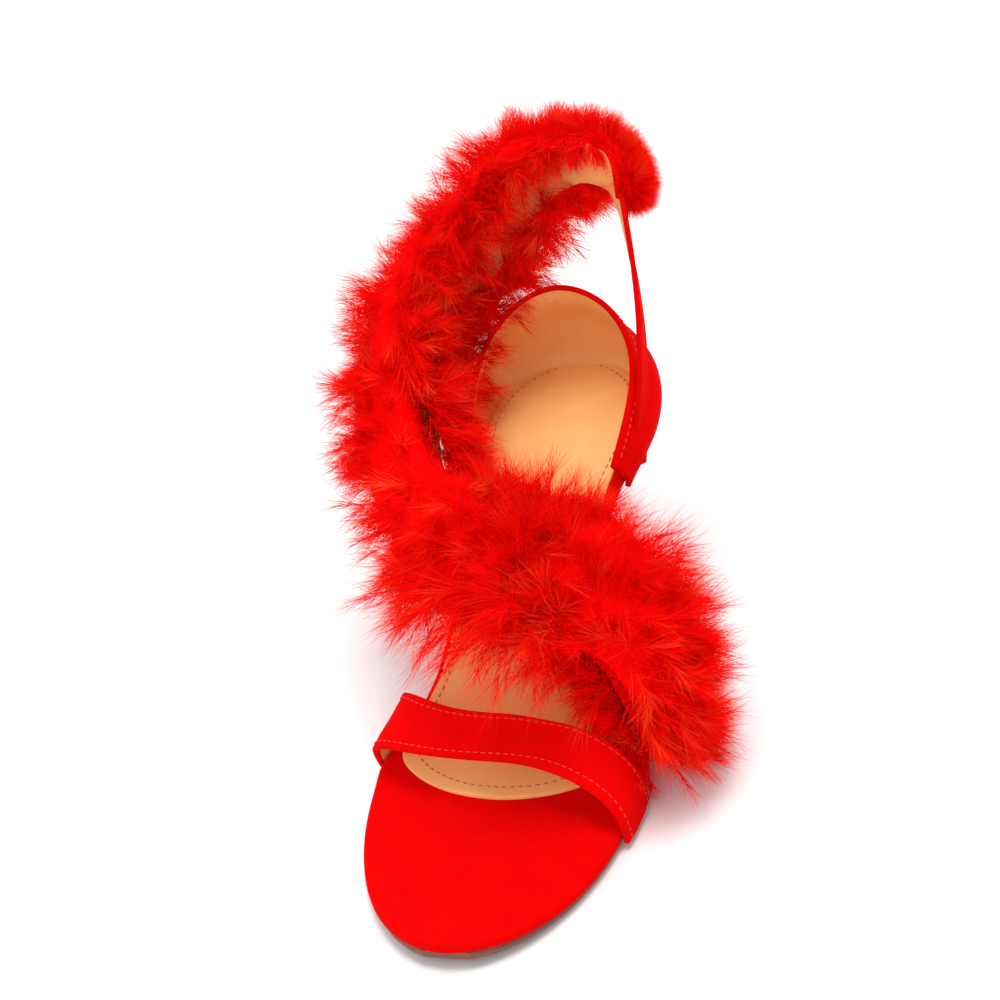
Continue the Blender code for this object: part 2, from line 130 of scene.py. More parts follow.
# The winding band: along is a share of LENGTH, across of BALL_WIDTH, height of ANKLE_HEIGHT,
# fluff the size of the feather trim there, wrap how far its upper horn goes round the band's edge,
# inward how densely its plumes curl over the band's inside, hang how far they hang past its lower side
Turn = namedtuple("Turn", "along across height fluff wrap inward hang")
BAND = (
    Turn(0.590, 0.420, 0.155, 0.78, 0.0, 0.6, 0.002),
    Turn(0.555, 0.360, 0.240, 1.05, 0.0, 0.6, 0.004),
    Turn(0.505, 0.215, 0.305, 1.15, 0.0, 0.5, 0.009),
    Turn(0.440, -0.005, 0.360, 1.12, 0.0, 0.5, 0.008),
    Turn(0.335, -0.285, 0.460, 0.98, 0.1, 1.2, -0.004),
    Turn(0.205, -0.425, 0.570, 0.95, 0.7, 1.2, -0.003),
    Turn(0.100, -0.400, 0.680, 0.98, 1.0, 1.0, 0.000),
    Turn(0.040, -0.245, 0.800, 0.90, 1.0, 1.0, 0.000),
    Turn(0.010, -0.040, 0.935, 0.72, 0.8, 0.9, 0.000),
    Turn(0.002, 0.150, 1.000, 0.46, 0.0, 0.35, 0.000),
    Turn(0.035, 0.305, 1.000, 0.24, 0.0, 0.0, 0.000),
    Turn(0.085, 0.368, 0.978, 0.14, 0.0, 0.0, 0.000),
)

# Horn of the trim's section, as in the part's source
Horn = namedtuple("Horn", "open_share shut_share behind deep")
HORN = (
    Horn(0.00, 0.00, 0.0, 0.0),
    Horn(0.09, 0.00, 0.0, 0.0),
    Horn(0.18, 0.00, 1.0, 0.0),
    Horn(0.38, 0.25, 1.0, 0.6),
    Horn(0.68, 0.68, 1.0, 0.6),
)

# Middle of the foot and leg inside the band
Middle = namedtuple("Middle", "along height")
LEG = (
    Middle(0.66, 0.08),
    Middle(0.50, 0.15),
    Middle(0.35, 0.32),
    Middle(0.22, 0.58),
    Middle(0.17, 0.85),
    Middle(0.17, 1.20),
)

# Section of the feather trim, as in the part's source
FLUFF_REACH = 0.024
FLUFF_SPREAD = 0.025
FLUFF_LIFT = 0.007
FLUFF_WRAP = 0.0075
FLUFF_WRAP_LIFT = 0.0015
FLUFF_BESIDE = 0.0009
FLUFF_BEHIND = 0.0012
FLUFF_CLEARANCE = 0.0007
FLUFF_ROUND = 0.8
START_FLUFF = 0.7

# Rounding of the red wrapping's lower and upper edge, of the sock's, and of a strip's edges
WRAP_UNDER = 0.0009
WRAP_OVER = 0.0022
SOCK_UNDER = 0.0003
SOCK_OVER = 0.0007
STRIP_ROLL = 0.0006

# Stitches: pitch, length and radius of each, and where their rows run
Stitch = namedtuple("Stitch", "pitch length radius")
SOCK_STITCH = Stitch(0.0026, 0.0016, 0.00032)
STRAP_STITCH = Stitch(0.0024, 0.0017, 0.00022)
SOCK_STITCH_INSET = 0.0030
SOCK_STITCH_LEAST = 0.0004
SOCK_STITCH_BACK = 0.012
SOCK_STITCH_FRONT = SOCK_FRONT - 0.02
STRAP_STITCH_SHARES = (0.12, 0.88)
STRAP_EDGE = 0.05
STITCH_DENT = 0.00022
STITCH_DENT_WIDTH = 0.05
COUNTER_STITCH_UP = 0.90
COUNTER_EDGE_UP = 0.96

# Heel counter: its rings, none of them near its middle, where the rings of its two sides would cross
COUNTER_TURNS = [turn for turn in np.linspace(0.0, 1.0, 120) if abs(turn - 0.5) > 0.01]

# Lining of the counter: how far it stands over the insole, and the curve between them
LINING_PROUD = 0.00035
LINING_FILLET = 0.0012
LINING_OVER = 0.00012
LINING_INSETS = (0.0036, 0.0024, 0.0012)

# Plumes: how many pieces of them, how many in a piece, where they leave the trim, and their scatter and bend
FEATHER_PIECES = 4
PLUMES = 520
PLUME_ROOT = 0.45
PLUME_PAST = 0.0085
PAST_GROWTH = 1.4
LEAST_REACH = 0.004
ROUND_BIAS = 1.15
LEAN_SCATTER = 0.16
AIM_SCATTER = 0.12
PLUME_BEND = 0.34
CURL_FALL = 0.7

# Plumes that curl over the band's inside from its upper edge, or fan out from its lower edge
INNER_SHARE = 0.48
UPPER_SHARE = 0.70
INNER_REACH = 0.0135
INNER_BESIDE = 0.0006
INNER_WRAPPED = 0.1
INNER_BEHIND = 0.4
INNER_FLATTEN = 0.8
INNER_DRAW = 0.55
INNER_SLANT = 0.8
LOWER_FAN = 1.6
LOWER_FALL = 1.0

# Barbs of a plume, and how much every hair thins towards its tip
BARBS = 72
BARB_LENGTH = 0.0060
BARB_OF_REACH = 0.32
BARB_SCATTER = (0.65, 1.15)
BARB_OPEN = (0.22, 0.90)
BARB_BEND = 0.30
BARB_WIDTH = 0.00018
BARB_POINTS = 4
TAPER = 0.6

# Core of dense down
CORE_AROUND = 27
CORE_SIZE = 0.86
CORE_LUMPS = 0.16
CORE_TONE = 0.25

# Short down on the core, thicker on the first columns of its section, at its upper side
FUZZ = 29000
FUZZ_ABOVE = 0.45
FUZZ_ABOVE_COLUMNS = 11
FUZZ_LENGTH = 0.0075
FUZZ_SCATTER = (0.6, 1.3)
FUZZ_STAND = (0.25, 1.0)
FUZZ_SINK = 0.0006
FUZZ_FALL = 0.4
FUZZ_BEND = 0.35

# Long single hairs
WISPS = 320
WISP_WIDTH = 0.00030
WISP_POINTS = 9
WISP_REACH = (1.05, 1.36)
WISP_BEND = 0.25
WISP_TURN = 4.5
WISP_SWING = 0.07

# Height below which hairs are eased up from the floor
FLOOR_LIFT = 0.006

# Sways of the plumes along and round the trim, and the tones of their barbs from 0 dark to 1 warm; their rise
# along plume and barb and at the trim's edges is painted light at the thin tips and edges
Sway = namedtuple("Sway", "size along around")
SWAYS = (Sway(0.40, 41, 2.3), Sway(0.25, 97, -4.1))
Tone = namedtuple("Tone", "root plume barb edge plume_scatter barb_scatter")
TONE = Tone(0.14, 0.34, 0.24, 0.16, 0.15, 0.08)

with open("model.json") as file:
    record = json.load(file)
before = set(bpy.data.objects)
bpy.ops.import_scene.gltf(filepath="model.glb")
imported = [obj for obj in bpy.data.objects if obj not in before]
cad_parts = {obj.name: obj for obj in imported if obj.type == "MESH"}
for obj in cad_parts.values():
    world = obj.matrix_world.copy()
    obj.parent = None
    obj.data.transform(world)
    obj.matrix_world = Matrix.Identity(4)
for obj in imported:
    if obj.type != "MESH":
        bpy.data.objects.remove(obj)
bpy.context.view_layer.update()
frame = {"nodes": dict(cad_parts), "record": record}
NODES = frame["nodes"]


def node_tree(name):
    """New material, its node tree and its shader."""
    made = bpy.data.materials.new(name)
    made.use_nodes = True
    tree = made.node_tree
    return made, tree, tree.nodes["Principled BSDF"]


def add(tree, kind, **values):
    """Node of a kind, its sockets set by name."""
    made = tree.nodes.new(kind)
    for key, value in values.items():
        made.inputs[key.replace("_", " ")].default_value = value
    return made


def noise(tree, scale, detail=4.0, rough=0.6, warp=0.0):
    """Noise texture in the object's own metres."""
    place = tree.nodes.new("ShaderNodeTexCoord")
    made = add(tree, "ShaderNodeTexNoise", Scale=scale, Detail=detail, Roughness=rough, Distortion=warp)
    tree.links.new(place.outputs["Object"], made.inputs["Vector"])
    return made.outputs["Fac"]


def ramp(tree, source, *stops):
    """Colour ramp on a factor: stops are (place, colour)."""
    made = tree.nodes.new("ShaderNodeValToRGB")
    band = made.color_ramp
    while len(band.elements) < len(stops):
        band.elements.new(0.5)
    for element, (place, color) in zip(band.elements, stops):
        element.position = place
        element.color = (*color, 1)
    tree.links.new(source, made.inputs["Fac"])
    return made.outputs["Color"]


def bump(tree, shader, *layers):
    """Bump from factors: layers are (factor, depth in metres)."""
    normal = None
    for source, depth in layers:
        made = add(tree, "ShaderNodeBump", Strength=1.0, Distance=depth)
        tree.links.new(source, made.inputs["Height"])
        if normal is not None:
            tree.links.new(normal, made.inputs["Normal"])
        normal = made.outputs["Normal"]
    tree.links.new(normal, shader.inputs["Normal"])


def suede():
    """Napped red suede: short fibres, brushed patches and a soft sheen."""
    made, tree, shader = node_tree("red_suede")
    patches = noise(tree, 55, 3, 0.55, 0.6)
    fibres = noise(tree, 2600, 3, 0.7)
    clumps = noise(tree, 620, 4, 0.6, 0.3)
    base = ramp(tree, patches, (0.30, RED_SUEDE), (0.72, tuple(0.86 * c for c in RED_SUEDE)))
    tree.links.new(base, shader.inputs["Base Color"])
    shader.inputs["Roughness"].default_value = 0.92
    shader.inputs["Specular IOR Level"].default_value = 0.03
    shader.inputs["Sheen Weight"].default_value = 0.12
    shader.inputs["Sheen Roughness"].default_value = 0.45
    shader.inputs["Sheen Tint"].default_value = (1.0, 0.01, 0.008, 1)
    bump(tree, shader, (clumps, 0.00018), (fibres, 0.00009))
    return made


def tan_leather():
    """Smooth tan lining leather with fine pores and soft creases."""
    made, tree, shader = node_tree("tan_leather")
    patches = noise(tree, 40, 3, 0.55, 0.8)
    pores = noise(tree, 1500, 3, 0.6)
    creases = noise(tree, 160, 5, 0.62, 1.2)
    base = ramp(tree, patches, (0.28, TAN), (0.75, TAN_DEEP))
    tree.links.new(base, shader.inputs["Base Color"])
    rough = tree.nodes.new("ShaderNodeMapRange")
    rough.inputs["To Min"].default_value = 0.42
    rough.inputs["To Max"].default_value = 0.60
    tree.links.new(creases, rough.inputs["Value"])
    tree.links.new(rough.outputs["Result"], shader.inputs["Roughness"])
    shader.inputs["Specular IOR Level"].default_value = 0.4
    bump(tree, shader, (creases, 0.00012), (pores, 0.00004))
    return made


def brown_leather():
    """Waxed brown sole leather with fine scratches."""
    made, tree, shader = node_tree("brown_leather")
    streaks = noise(tree, 90, 6, 0.7, 2.0)
    grain = noise(tree, 900, 4, 0.6)
    base = ramp(tree, streaks, (0.30, BROWN), (0.75, tuple(1.7 * c for c in BROWN)))
    tree.links.new(base, shader.inputs["Base Color"])
    shader.inputs["Roughness"].default_value = 0.45
    bump(tree, shader, (grain, 0.00005))
    return made


def dark_rubber():
    """Moulded dark top piece."""
    made, tree, shader = node_tree("dark_rubber")
    grain = noise(tree, 1200, 3, 0.6)
    base = ramp(tree, grain, (0.35, DARK), (0.7, tuple(1.5 * c for c in DARK)))
    tree.links.new(base, shader.inputs["Base Color"])
    shader.inputs["Roughness"].default_value = 0.6
    bump(tree, shader, (grain, 0.00004))
    return made


def feather():
    """Down barbs: dark to deep red at the root, brighter and warmer towards the tip, by the mesh's tone; the
    brighter, warmer tips are painted light, as if shining through the thin barbs.
    """
    made, tree, shader = node_tree("red_feather")
    tone = tree.nodes.new("ShaderNodeVertexColor")
    tone.layer_name = "tone"
    split = tree.nodes.new("ShaderNodeSeparateColor")
    tree.links.new(tone.outputs["Color"], split.inputs["Color"])
    # Stops from dark red through bright red to warm orange; the warm end is painted light at the thin tips
    stops = ((0.0, FEATHER_DARK), (0.09, FEATHER_ROOT), (0.35, FEATHER_MIDDLE), (0.75, FEATHER_TIP),
             (1.0, FEATHER_PAINTED_LIGHT))
    base = ramp(tree, split.outputs["Red"], *stops)
    tree.links.new(base, shader.inputs["Base Color"])
    shader.inputs["Roughness"].default_value = 0.7
    shader.inputs["Specular IOR Level"].default_value = 0.03
    shader.inputs["Sheen Weight"].default_value = 0.12
    shader.inputs["Sheen Roughness"].default_value = 0.4
    shader.inputs["Sheen Tint"].default_value = (1.0, 0.02, 0.01, 1)
    return made


def new_piece(name, mesh, finish):
    """Piece of the shoe on the CAD body, in one material."""
    made = bpy.data.objects.new(name, mesh)
    bpy.context.scene.collection.objects.link(made)
    mesh.materials.append(finish)
    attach(made, "root")
    return made


def smooth(rows, column, at):
    """A column of a table at a place along its first column, on a curve that never overshoots its rows."""
    xs = [row[0] for row in rows]
    ys = [getattr(row, column) for row in rows]
    slopes = [(ys[i + 1] - ys[i]) / (xs[i + 1] - xs[i]) for i in range(len(xs) - 1)]
    tangents = [slopes[0]]
    for before, after in zip(slopes, slopes[1:]):
        level = before * after <= 0
        tangents.append(0.0 if level else 2 * before * after / (before + after))
    tangents.append(slopes[-1])
    at = min(max(at, xs[0]), xs[-1])
    i = max(k for k in range(len(xs) - 1) if xs[k] <= at)
    step = xs[i + 1] - xs[i]
    t = (at - xs[i]) / step
    return (ys[i] * (1 + 2 * t) * (1 - t) ** 2 + tangents[i] * step * t * (1 - t) ** 2
            + ys[i + 1] * t * t * (3 - 2 * t) + tangents[i + 1] * step * t * t * (t - 1))


def rise(along):
    """Height of the insole's underside over the floor."""
    spring = max(0.0, (along - SPRING_FROM) / (1 - SPRING_FROM))
    return OUTSOLE_THICKNESS + HEEL_RISE * smooth(SOLE, "rise", along) + TOE_SPRING * spring ** 2


def board_top(along):
    """Height of the insole's top over its underside."""
    return CLEARANCE + INSOLE_THICKNESS * smooth(SOLE, "board", along)


def half_width(along):
    """Half the width of the insole."""
    half = BALL_WIDTH * smooth(SOLE, "half", along)
    if along < HEEL_ROUND:
        half *= sqrt(max(0.0, 1 - (1 - along / HEEL_ROUND) ** 2))
    if along > 1 - TOE_ROUND:
        half *= sqrt(max(0.0, 1 - ((along - 1 + TOE_ROUND) / TOE_ROUND) ** 2))
    return half


def middle_line(along):
    """Across position of the sole's middle."""
    return BALL_WIDTH * smooth(SOLE, "centre", along)


def edge(along, side):
    """Across position of the insole's edge, side 1 medial and side -1 lateral."""
    return middle_line(along) + side * half_width(along)


def over_sole(along, across, height):
    """Point at a height square to the insole's underside, over a place in its plan."""
    step = 0.01
    low = min(max(along, step), 1 - step)
    slope = Vector((0, -2 * step * LENGTH, rise(low + step) - rise(low - step))).normalized()
    square = Vector((0, -slope.z, slope.y)) * (1 if slope.y > 0 else -1)
    inside = min(max(along, 0), 1)
    foot = Vector((across, -inside * LENGTH, rise(along)))
    return foot + slope * (along - inside) * LENGTH + square * height


def out_of_edge(along, side, distance):
    """Plan place (along, across) at a distance square out of the insole's edge."""
    step = 0.004
    low = min(max(along - step, 0.0), 1.0)
    high = min(max(along + step, 0.0), 1.0)
    run = np.array([(high - low) * LENGTH, edge(high, side) - edge(low, side)])
    run = run / np.linalg.norm(run)
    normal = np.array([-run[1], run[0]]) * side
    return along + normal[0] * distance / LENGTH, edge(along, side) + normal[1] * distance


def stations(start, end, count):
    """Places from start to end, closer together towards both ends."""
    return [start + (end - start) * (1 - cos(pi * i / (count - 1))) / 2 for i in range(count)]


def rounded(low, high, half, under, over, steps=5):
    """Half section of a sheet from its middle under to its middle over: its edge rounded by two radii."""
    points = []
    for i in range(steps + 1):
        turn = pi / 2 * i / steps
        points.append((half - under + under * sin(turn), low + under - under * cos(turn)))
    for i in range(steps + 1):
        turn = pi / 2 * i / steps
        points.append((half - over + over * cos(turn), high - over + over * sin(turn)))
    return points


def sheet_rings(start, end, bottom, top, inset, under, over, front_round=0.0, count=96):
    """Rings of a sheet of the sole, with its two edges rounded."""
    rings = []
    reach = inset / LENGTH
    for place in stations(max(start, reach), min(end, 1 - reach), count):
        half = half_width(place)
        width = half - inset * min(1.0, half / (BALL_WIDTH * FULL_INSET_WIDTH))
        if front_round and place > end - front_round:
            width *= sqrt(max(0.0, 1 - ((place - end) / front_round + 1) ** 2))
        width = max(width, LEAST_HALF_WIDTH)
        low, high = bottom(place), top(place)
        thick = high - low
        inner = width * 0.6
        profile = rounded(low, high, width, min(under, thick * 0.4, inner), min(over, thick * 0.55, inner))
        middle = middle_line(place)
        ring = [over_sole(place, middle + x, y) for x, y in profile]
        ring += [over_sole(place, middle + share * inner, high) for share in (0.5, 0.0, -0.5)]
        ring += [over_sole(place, middle - x, y) for x, y in profile[::-1]]
        rings.append(ring)
    return rings


def leg_middle(point):
    """Nearest point of the foot's and leg's middle line."""
    line = [Vector((0, -row.along * LENGTH, row.height * ANKLE_HEIGHT)) for row in LEG]
    best = None
    for start, end in zip(line, line[1:]):
        run = end - start
        share = min(max((point - start).dot(run) / run.length_squared, 0.0), 1.0)
        near = start + run * share
        if best is None or (point - near).length < (point - best).length:
            best = near
    return best


def band_path(count):
    """Points of the winding band, their outward directions, and the trim's size, wrap, inward and hang."""
    start = over_sole(*out_of_edge(BAND_START, 1, 4 * CLEARANCE), CLEARANCE)
    start_out = over_sole(*out_of_edge(BAND_START, 1, UPPER_THICKNESS), CLEARANCE) - start
    knots = [start] + [Vector((row.across * BALL_WIDTH, -row.along * LENGTH, row.height * ANKLE_HEIGHT))
                       for row in BAND]
    trims = [(BAND[0].fluff * START_FLUFF, BAND[0].wrap, BAND[0].inward, BAND[0].hang)]
    trims += [(row.fluff, row.wrap, row.inward, row.hang) for row in BAND]
    points, outwards, sizes = [], [], []
    for i in range(count):
        place = i / (count - 1) * (len(knots) - 1)
        k = min(int(place), len(knots) - 2)
        t = place - k
        p0, p1, p2, p3 = (knots[max(k - 1, 0)], knots[k], knots[k + 1], knots[min(k + 2, len(knots) - 1)])
        point = 0.5 * (2 * p1 + (p2 - p0) * t + (2 * p0 - 5 * p1 + 4 * p2 - p3) * t * t
                       + (3 * p1 - p0 - 3 * p2 + p3) * t ** 3)
        outward = (point - leg_middle(point)).normalized()
        points.append(point)
        outwards.append(start_out.normalized().lerp(outward, min(place / START_TURNS, 1.0)).normalized())
        sizes.append([before + (after - before) * t for before, after in zip(trims[k], trims[k + 1])])
    return points, outwards, sizes


def frame_shift():
    """From the part's own middle line and heel to the frame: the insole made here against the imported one."""
    rings = sheet_rings(0.0, 1.0, lambda along: CLEARANCE, board_top, 0.0, WRAP_UNDER, WRAP_UNDER)
    low = [min(point[i] for ring in rings for point in ring) for i in range(3)]
    high = [max(point[i] for ring in rings for point in ring) for i in range(3)]
    packed_low, packed_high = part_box("insole")
    return Vector([(packed_low[i] + packed_high[i] - low[i] - high[i]) / 2 for i in range(3)])


def mesh_of_rings(name, rings, closed=True, caps=True):
    """Smooth mesh through rings of points, in the frame's place; open rows are joined without an end."""
    made = bmesh.new()
    rows = [[made.verts.new(point + SHIFT) for point in ring] for ring in rings]
    count = len(rows[0])
    for before, after in zip(rows, rows[1:]):
        for i in range(count if closed else count - 1):
            j = (i + 1) % count
            made.faces.new((before[i], before[j], after[j], after[i]))
    if caps and closed:
        made.faces.new(rows[0][::-1])
        made.faces.new(rows[-1])
    bmesh.ops.recalc_face_normals(made, faces=made.faces)
    mesh = bpy.data.meshes.new(name)
    made.to_mesh(mesh)
    made.free()
    mesh.shade_smooth()
    return mesh


def joined(name, meshes):
    """One mesh from several."""
    made = bmesh.new()
    for mesh in meshes:
        made.from_mesh(mesh)
        bpy.data.meshes.remove(mesh)
    whole = bpy.data.meshes.new(name)
    made.to_mesh(whole)
    made.free()
    whole.shade_smooth()
    return whole


def strip_rings(middles, outwards, width, thickness):
    """Rings of a leather strip through middle points, its inner face on them and its edges rolled."""
    roll = STRIP_ROLL
    rings = []
    for i, (middle, outward) in enumerate(zip(middles, outwards)):
        ahead = (middles[min(i + 1, len(middles) - 1)] - middles[max(i - 1, 0)]).normalized()
        outward = (outward - ahead * outward.dot(ahead)).normalized()
        across = ahead.cross(outward)
        half = width / 2
        ring = []
        for side in (1, -1):
            arc = [(half - roll + roll * sin(t), (thickness / 2) * (1 - cos(t))) for t in
                   [pi * k / 8 for k in range(9)]]
            arc = [(x * side, y) for x, y in (arc if side == 1 else arc[::-1])]
            ring += [middle + across * x + outward * y for x, y in arc]
            if side == 1:
                ring += [middle + across * (half * share) + outward * thickness
                         for share in (0.6, 0.2, -0.2, -0.6)]
        rings.append(ring)
    return rings


def place_camera():
    """Camera at the photograph's angle, rolled as the photograph is, and marked as the scene's own."""
    turn, lift, roll = radians(CAMERA_AZIMUTH), radians(CAMERA_ELEVATION), radians(CAMERA_ROLL)
    back = Vector((sin(turn) * cos(lift), -cos(turn) * cos(lift), sin(lift)))
    right = Vector((cos(turn), sin(turn), 0))
    up = back.cross(right)
    across = right * cos(roll) + up * sin(roll)
    above = up * cos(roll) - right * sin(roll)
    lens = bpy.data.cameras.new("camera")
    lens.lens = CAMERA_LENS
    lens.sensor_width = SENSOR
    lens.clip_start = 0.01
    made = bpy.data.objects.new("camera", lens)
    made.matrix_world = Matrix.Translation(Vector(CAMERA_AIM) + back * CAMERA_DISTANCE) @ Matrix(
        (across, above, back)).transposed().to_4x4()
    bpy.context.scene.collection.objects.link(made)
    bpy.context.scene.camera = made


def soft_light(lamp):
    """Wide even light from the side of the lamp's place."""
    light = bpy.data.lights.new(lamp.name, "SUN")
    light.angle = lamp.spread
    light.energy = lamp.power
    made = bpy.data.objects.new(lamp.name, light)
    made.location = lamp.place
    made.rotation_euler = (-Vector(lamp.place)).to_track_quat("-Z", "Y").to_euler()
    bpy.context.scene.collection.objects.link(made)


def studio():
    """Plain pale floor, a backdrop that looks white and lights less than it shows, and the lamps."""
    half = FLOOR_HALF
    corners = [(-half, -half, 0), (half, -half, 0), (half, half, 0), (-half, half, 0)]
    mesh = bpy.data.meshes.new("floor")
    mesh.from_pydata(corners, [], [(0, 1, 2, 3)])
    floor = bpy.data.objects.new("floor", mesh)
    bpy.context.scene.collection.objects.link(floor)
    made, _, shader = node_tree("pale_floor")
    shader.inputs["Base Color"].default_value = (FLOOR_SHADE, FLOOR_SHADE, FLOOR_SHADE, 1)
    shader.inputs["Roughness"].default_value = 0.9
    mesh.materials.append(made)
    world = bpy.data.worlds.new("studio")
    world.use_nodes = True
    world.node_tree.nodes["Background"].inputs["Color"].default_value = (1, 1, 1, 1)
    backdrop = world.node_tree.nodes["Background"]
    path = world.node_tree.nodes.new("ShaderNodeLightPath")
    seen = world.node_tree.nodes.new("ShaderNodeMapRange")
    seen.inputs["To Min"].default_value = SKY_LIGHT
    seen.inputs["To Max"].default_value = 1.0
    world.node_tree.links.new(path.outputs["Is Camera Ray"], seen.inputs["Value"])
    world.node_tree.links.new(seen.outputs["Result"], backdrop.inputs["Strength"])
    bpy.context.scene.world = world
    bpy.context.scene.view_settings.view_transform = "Standard"
    for lamp in LAMPS:
        soft_light(lamp)


def make_insole():
    """The insole's red suede wrapping: its upper edge rolls over softly, most at the toe."""
    rings = sheet_rings(0.0, 1.0, lambda along: CLEARANCE, board_top, 0.0, WRAP_UNDER, WRAP_OVER, count=120)
    mesh = mesh_of_rings("insole_wrap", rings)
    made = new_piece("insole_wrap", mesh, FINISHES["red_suede"])
    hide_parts("insole")


def make_sock():
    """Tan lining leather on the insole, with a thread line round its edge."""
    def low(along):
        return board_top(along) + CLEARANCE * 0.4

    def high(along):
        return board_top(along) + CLEARANCE + SOCK_THICKNESS

    rings = sheet_rings(0.0, SOCK_FRONT, low, high, SOCK_INSET, SOCK_UNDER, SOCK_OVER, SOCK_FRONT_ROUND, 110)
    mesh = mesh_of_rings("sock_lining", rings)
    made = new_piece("sock_lining", mesh, FINISHES["tan_leather"])
    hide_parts("sock")
    line = []
    for side in (1, -1):
        row = []
        for along in np.linspace(SOCK_STITCH_BACK, SOCK_STITCH_FRONT, 150):
            width = half_width(along) - SOCK_INSET - SOCK_STITCH_INSET
            if along > SOCK_STITCH_FRONT - SOCK_FRONT_ROUND:
                back = (along - SOCK_STITCH_FRONT) / SOCK_FRONT_ROUND + 1
                width *= sqrt(max(0.0, 1 - back * back))
            width = max(width, SOCK_STITCH_LEAST)
            row.append(over_sole(along, middle_line(along) + side * width, high(along)))
        line += row if side == 1 else row[::-1]
    mesh = thread_row("sock_stitches", line, SOCK_STITCH)
    new_piece("sock_stitches", mesh, FINISHES["thread_tan"])


def thread_row(name, line, stitch):
    """Stitches along a line of points: short round thread pieces whose ends sink into the leather."""
    made = bmesh.new()
    points = [np.array(point) for point in line]
    runs = [0.0]
    for a, b in zip(points, points[1:]):
        runs.append(runs[-1] + float(np.linalg.norm(b - a)))
    spots = np.array(points)

    def at(run):
        return Vector([float(np.interp(run, runs, spots[:, i])) for i in range(3)])

    place = stitch.pitch / 2
    while place < runs[-1] - stitch.pitch / 2:
        start, end = at(place - stitch.length / 2), at(place + stitch.length / 2)
        ahead = (end - start).normalized()
        side = ahead.orthogonal().normalized()
        other = ahead.cross(side)
        rows = []
        for share, thick in ((0.0, 0.35), (0.18, 0.85), (0.5, 1.0), (0.82, 0.85), (1.0, 0.35)):
            middle = start.lerp(end, share) + SHIFT
            rows.append([made.verts.new(middle + (side * cos(t) + other * sin(t)) * stitch.radius * thick)
                         for t in [2 * pi * k / 6 for k in range(6)]])
        for before, after in zip(rows, rows[1:]):
            for i in range(6):
                made.faces.new((before[i], before[(i + 1) % 6], after[(i + 1) % 6], after[i]))
        made.faces.new(rows[0][::-1])
        made.faces.new(rows[-1])
        place += stitch.pitch
    bmesh.ops.recalc_face_normals(made, faces=made.faces)
    mesh = bpy.data.meshes.new(name)
    made.to_mesh(mesh)
    made.free()
    mesh.shade_smooth()
    return mesh


def toe_strap_point(turn, across_share, lift):
    """Point of the toe strap: turn runs from its medial to its lateral end, lift out from its inner face."""
    side = 1 if turn < pi / 2 else -1
    along = TOE_STRAP_ALONG + TOE_STRAP_SKEW * cos(turn) + (across_share - 0.5) * TOE_STRAP_WIDTH / LENGTH
    arch = TOE_STRAP_BACK_ARCH + (TOE_STRAP_FRONT_ARCH - TOE_STRAP_BACK_ARCH) * across_share
    reach_along, reach = out_of_edge(along, side, TOE_STRAP_BESIDE + lift)
    middle = middle_line(along)
    wide = abs(cos(turn)) ** TOE_STRAP_SQUARE
    height = CLEARANCE + (board_top(along) + arch + lift) * max(sin(turn), 0.0) ** TOE_STRAP_SQUARE
    return over_sole(along + (reach_along - along) * wide, middle + (reach - middle) * wide, height)


def make_toe_strap():
    """Suede strap over the toes: rolled edges, a row of thread along each edge and a tan lining."""
    turns = [pi * (1 - cos(pi * i / 96)) / 2 for i in range(97)]
    rings = []
    roll = STRAP_EDGE
    for turn in turns:
        ring = []
        for k in range(7):
            t = pi * k / 6
            ring.append(toe_strap_point(turn, roll * (1 - sin(t)), UPPER_THICKNESS / 2 * (1 + cos(t))))
        for k in range(1, 6):
            ring.append(toe_strap_point(turn, roll + (1 - 2 * roll) * k / 6, 0.0))
        for k in range(7):
            t = pi * k / 6
            ring.append(toe_strap_point(turn, 1 - roll * (1 - sin(t)), UPPER_THICKNESS / 2 * (1 - cos(t))))
        for k in range(1, 8):
            share = k / 8
            dent = STITCH_DENT * sum(np.exp(-((share - at) / STITCH_DENT_WIDTH) ** 2) for at in (0.10, 0.90))
            place = 1 - roll - (1 - 2 * roll) * share
            ring.append(toe_strap_point(turn, place, UPPER_THICKNESS - dent + 0.0001))
        rings.append(ring)
    mesh = mesh_of_rings("toe_strap_suede", rings)
    made = new_piece("toe_strap_suede", mesh, FINISHES["red_suede"])
    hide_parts("toe_strap")
    shares = np.linspace(0.06, 0.94, 9)
    rows = [[toe_strap_point(turn, share, -0.0002) for share in shares] for turn in turns[2:-2]]
    lining = mesh_of_rings("toe_strap_lining", rows, closed=False)
    new_piece("toe_strap_lining", lining, FINISHES["tan_leather"])
    threads = []
    for share in STRAP_STITCH_SHARES:
        line = [toe_strap_point(turn, share, UPPER_THICKNESS + 0.00008) for turn in turns[1:-1]]
        threads.append(thread_row("threads", line, STRAP_STITCH))
    new_piece("toe_strap_threads", joined("toe_strap_threads", threads), FINISHES["thread_red"])


def counter_ring(turn):
    """The counter's side, its share of the way round the back, its place along and its top, at a turn."""
    side = 1 if turn < 0.5 else -1
    back = sin(pi * turn)
    along = COUNTER_FRONT * (1 - back) ** COUNTER_SWEEP
    share = COUNTER_END_HEIGHT + (1 - COUNTER_END_HEIGHT) * back ** COUNTER_TOP_SWEEP
    return side, back, along, COUNTER_HEIGHT * share + INSOLE_THICKNESS


def counter_point(turn, up, out):
    """Point of the heel counter: turn from its medial front end to its lateral one, up from 0 to 1."""
    side, back, along, top = counter_ring(turn)
    fullness = COUNTER_END_BULGE + (1 - COUNTER_END_BULGE) * back
    bulge = COUNTER_BULGE * sin(pi * min(up / COUNTER_BULGE_TOP, 1.0)) * fullness
    lean = COUNTER_LEAN * max(0.0, up - COUNTER_LEAN_FROM) ** COUNTER_LEAN_CURVE * (1 + back)
    height = CLEARANCE + (top - CLEARANCE) * up
    return over_sole(*out_of_edge(along, side, CLEARANCE + bulge - lean + out), height)


